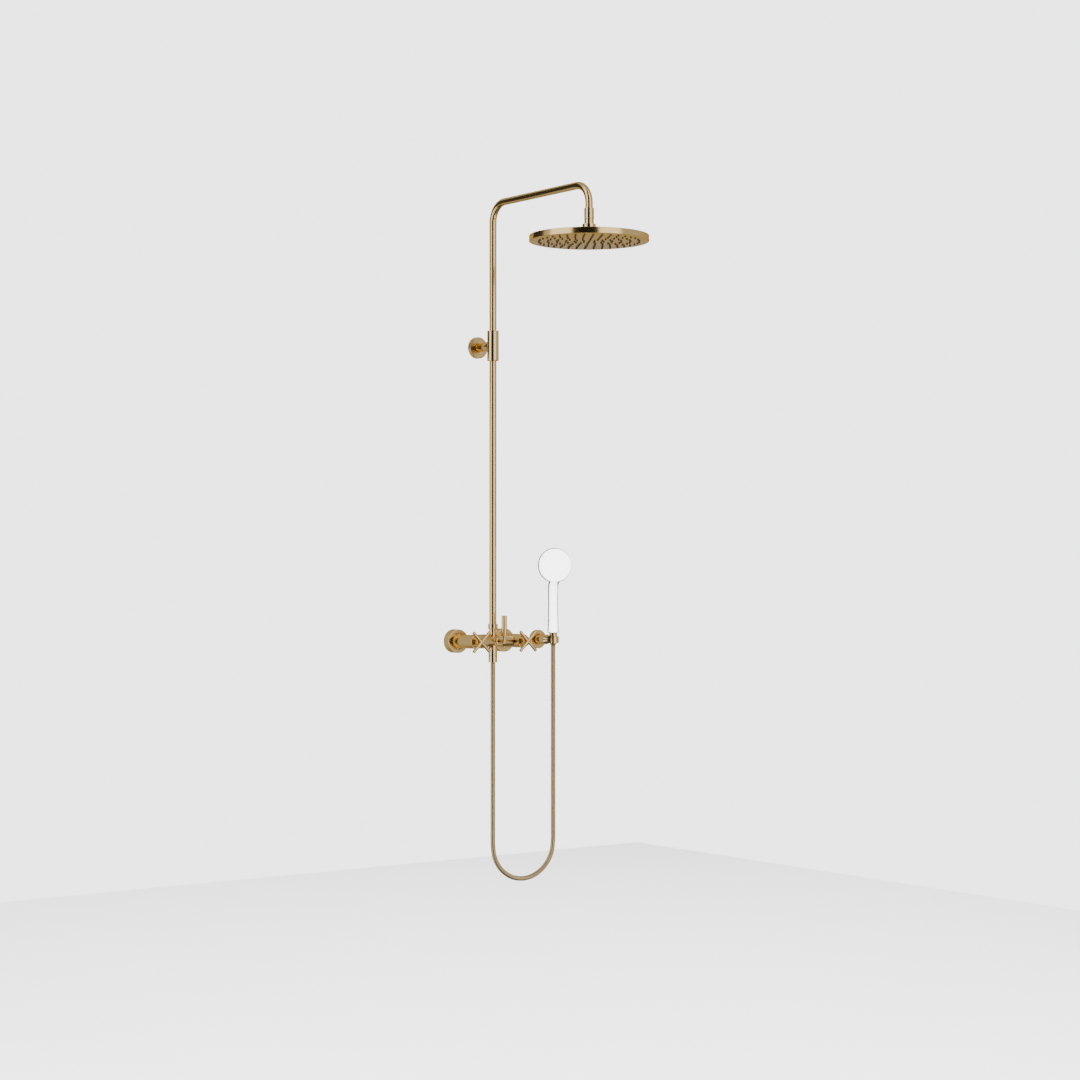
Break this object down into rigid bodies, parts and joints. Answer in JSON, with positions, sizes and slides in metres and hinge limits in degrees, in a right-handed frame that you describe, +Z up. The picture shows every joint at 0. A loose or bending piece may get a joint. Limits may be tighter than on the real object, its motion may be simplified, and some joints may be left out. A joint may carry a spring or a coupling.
{
  "type": "rainfall shower column",
  "caption": "Exposed brass shower column: cross-handle mixer with diverter, riser, overhead arm with a swivelling rain head, wall cradle, metal hose and white hand shower",
  "frame": {"origin": "on the wall's face, behind the riser's axis, at the height of the mixer's axis", "axes": "+Z up, +Y into the wall, +X to the right as seen by a person who faces the shower; every solid is on the -Y side"},
  "size_m": [0.3845, 0.6366, 1.7997],
  "materials": {
    "brushed_brass": "brushed, lacquered",
    "seal_rubber": "moulded",
    "nozzle_silicone": "moulded silicone",
    "valve_ceramic": "lapped",
    "black_plastic": "moulded",
    "white_plastic": "gloss",
    "screw_steel": "plain",
    "pale_silicone": "moulded silicone"
  },
  "bodies": {
    "fixed": {"arm_end_sleeve": "brushed_brass", "arm_o_ring": "seal_rubber", "arm_tube": "brushed_brass", "ball_lock_screw": "screw_steel", "ball_socket": "brushed_brass", "body_collar": "brushed_brass", "bracket_base": "screw_steel", "bracket_neck": "brushed_brass", "bracket_rosette": "brushed_brass", "bracket_screw": "screw_steel", "bracket_sleeve": "brushed_brass", "cold_ceramic_disc": "valve_ceramic", "cold_headwork": "brushed_brass", "cold_inlet_rosette": "brushed_brass", "cold_inlet_washer": "seal_rubber", "cold_supply_union": "brushed_brass", "cold_valve_barrel": "brushed_brass", "cradle_liner": "black_plastic", "cradle_shell": "brushed_brass", "diverter_bonnet": "brushed_brass", "diverter_cartridge": "black_plastic", "holder_base": "screw_steel", "holder_neck": "brushed_brass", "holder_rosette": "brushed_brass", "hose_nut": "brushed_brass", "hose_washer": "seal_rubber", "hot_ceramic_disc": "valve_ceramic", "hot_headwork": "brushed_brass", "hot_inlet_rosette": "brushed_brass", "hot_inlet_washer": "seal_rubber", "hot_supply_union": "brushed_brass", "hot_valve_barrel": "brushed_brass", "mixer_body": "brushed_brass", "outlet_check_valve": "black_plastic", "riser_nut": "brushed_brass", "riser_o_ring": "seal_rubber", "riser_tube": "brushed_brass", "riser_washer": "seal_rubber", "shower_hose": "brushed_brass"},
    "hot_handle": {"hot_valve_spindle": "brushed_brass", "hot_handle_hub": "brushed_brass", "hot_handle_screw": "screw_steel", "hot_cross_handle": "brushed_brass"},
    "cold_handle": {"cold_valve_spindle": "brushed_brass", "cold_handle_hub": "brushed_brass", "cold_handle_screw": "screw_steel", "cold_cross_handle": "brushed_brass"},
    "diverter_lever": {"diverter_spindle": "brushed_brass", "diverter_rod": "brushed_brass", "diverter_grip": "brushed_brass"},
    "head_swivel_ring": {"ball_seal": "seal_rubber"},
    "rain_head": {"head_ball": "brushed_brass", "head_flange": "brushed_brass", "head_shell": "brushed_brass", "spray_plate": "brushed_brass", "nozzle_mat": "nozzle_silicone"},
    "hand_shower": {"hose_cone_nut": "brushed_brass", "handset_body": "white_plastic", "handset_face": "white_plastic", "handset_mat": "pale_silicone"}
  },
  "joints": [
    {"name": "hot_handle_turn", "type": "hinge", "parent": "fixed", "child": "hot_handle", "pos_m": [-0.075, -0.129, 0], "axis": [0, -1, 0], "range_deg": [0, 90]},
    {"name": "cold_handle_turn", "type": "hinge", "parent": "fixed", "child": "cold_handle", "pos_m": [0.075, -0.129, 0], "axis": [0, -1, 0], "range_deg": [-90, 0]},
    {"name": "diverter_turn", "type": "hinge", "parent": "fixed", "child": "diverter_lever", "pos_m": [0.008, -0.115, 0], "axis": [0, -1, 0], "range_deg": [-45, 45]},
    {"name": "head_swivel", "type": "hinge", "parent": "fixed", "child": "head_swivel_ring", "pos_m": [0, -0.4866, 1.052], "axis": [0, 0, 1], "continuous": true},
    {"name": "head_tilt", "type": "hinge", "parent": "head_swivel_ring", "child": "rain_head", "pos_m": [0, -0.4866, 1.052], "axis": [1, 0, 0], "range_deg": [-10, 10]},
    {"name": "handset_lift", "type": "slide", "parent": "fixed", "child": "hand_shower", "axis": [0, 0, 1], "range_m": [0, 0.03], "deforming": ["shower_hose"]}
  ]
}
